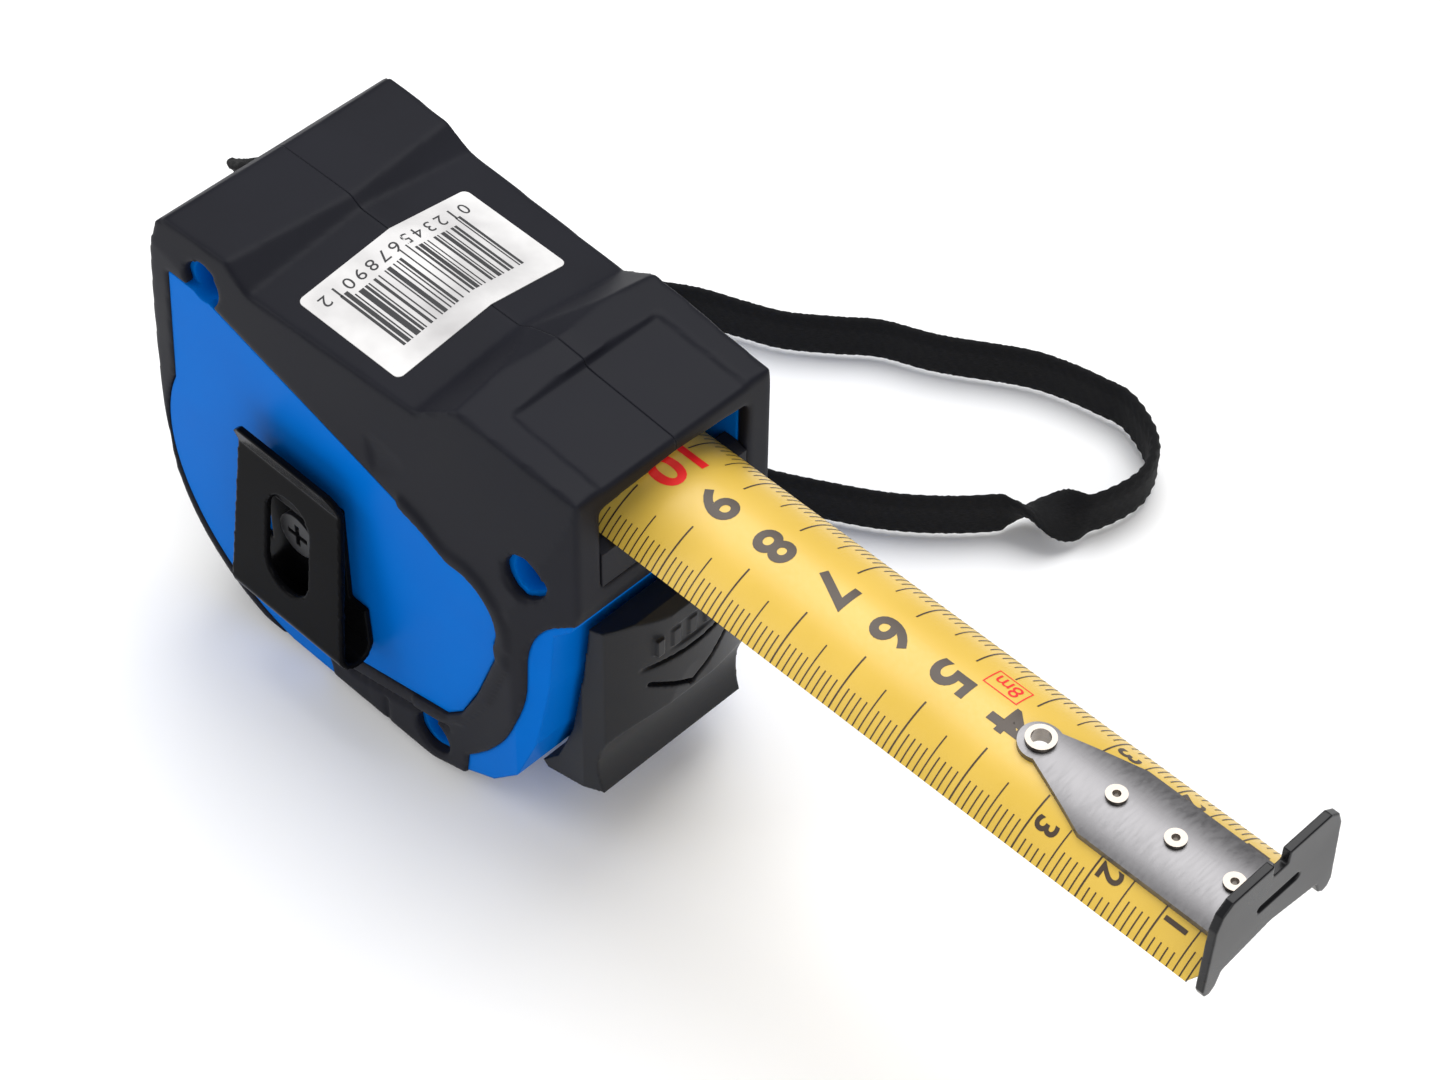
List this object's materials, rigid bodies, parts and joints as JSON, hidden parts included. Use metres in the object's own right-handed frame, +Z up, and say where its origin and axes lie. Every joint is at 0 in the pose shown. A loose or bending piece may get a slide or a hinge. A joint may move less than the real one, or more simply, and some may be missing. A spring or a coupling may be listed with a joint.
{
  "type": "tape measure",
  "caption": "Pocket tape measure with a rubber-gripped case, curved steel blade with end hook, thumb lock, belt clip and wrist strap",
  "frame": {"origin": "on the flat crown of the case, which it lies on, at the parting plane and under the reel axis", "axes": "+X the way the blade comes out, +Y through the thickness away from the belt clip, +Z up, from the crown towards the base"},
  "size_m": [0.1902, 0.1262, 0.077],
  "materials": {
    "shell_blue": "moulded ABS, light texture",
    "grip_rubber": "matt soft-touch rubber",
    "label_paper": "printed paper sticker",
    "screw_steel": "zinc plated",
    "clip_black": "black stoved spring steel",
    "acetal_white": "natural acetal",
    "webbing_black": "woven polyester webbing",
    "spring_steel": "cold-rolled spring steel",
    "reel_black": "moulded nylon",
    "blade_yellow": "yellow lacquered steel",
    "nickel": "nickel plated",
    "plate_steel": "satin steel",
    "lip_black": "black coated steel",
    "button_black": "textured moulded plastic"
  },
  "bodies": {
    "case": {"shell_left": "shell_blue", "shell_right": "shell_blue", "grip_left": "grip_rubber", "grip_right": "grip_rubber", "barcode_label": "label_paper", "case_screws": "screw_steel", "belt_clip": "clip_black", "clip_screw": "clip_black", "reel_post": "acetal_white", "mouth_bumper": "grip_rubber", "blade_guide": "acetal_white", "strap_bar": "screw_steel", "wrist_strap": "webbing_black", "brake_pin": "screw_steel", "lock_detent_spring": "spring_steel"},
    "reel": {"reel_drum": "reel_black", "reel_side_disc": "reel_black", "power_spring": "spring_steel", "blade_coil": "blade_yellow"},
    "blade": {"blade": "blade_yellow"},
    "hook": {"hook_plate": "plate_steel", "hook_lip": "lip_black", "hook_rivets": "nickel", "hook_eyelet": "nickel"},
    "lock": {"lock_button": "button_black", "lock_carriage": "acetal_white"},
    "brake": {"brake_lever": "acetal_white", "brake_pad": "grip_rubber"}
  },
  "joints": [
    {"name": "blade_slide", "type": "slide", "parent": "case", "child": "blade", "axis": [1, 0, 0], "range_m": [-0.04, 0.018]},
    {"name": "reel_spin", "type": "hinge", "parent": "case", "child": "reel", "pos_m": [0, 0, 0.032], "axis": [0, 1, 0], "range_deg": [-94, 43]},
    {"name": "hook_play", "type": "slide", "parent": "blade", "child": "hook", "axis": [1, 0, 0], "range_m": [0, 0.0012]},
    {"name": "lock_slide", "type": "slide", "parent": "case", "child": "lock", "axis": [0, 0, 1], "range_m": [-0.0045, 0]},
    {"name": "brake_swing", "type": "hinge", "parent": "case", "child": "brake", "pos_m": [0.024, 0, 0.054], "axis": [0, 1, 0], "range_deg": [0, 8.5]}
  ],
  "couplings": [
    {"joint": "reel_spin", "follows": "blade_slide", "rad_per_m": 40.8},
    {"joint": "brake_swing", "follows": "lock_slide", "rad_per_m": -30}
  ]
}
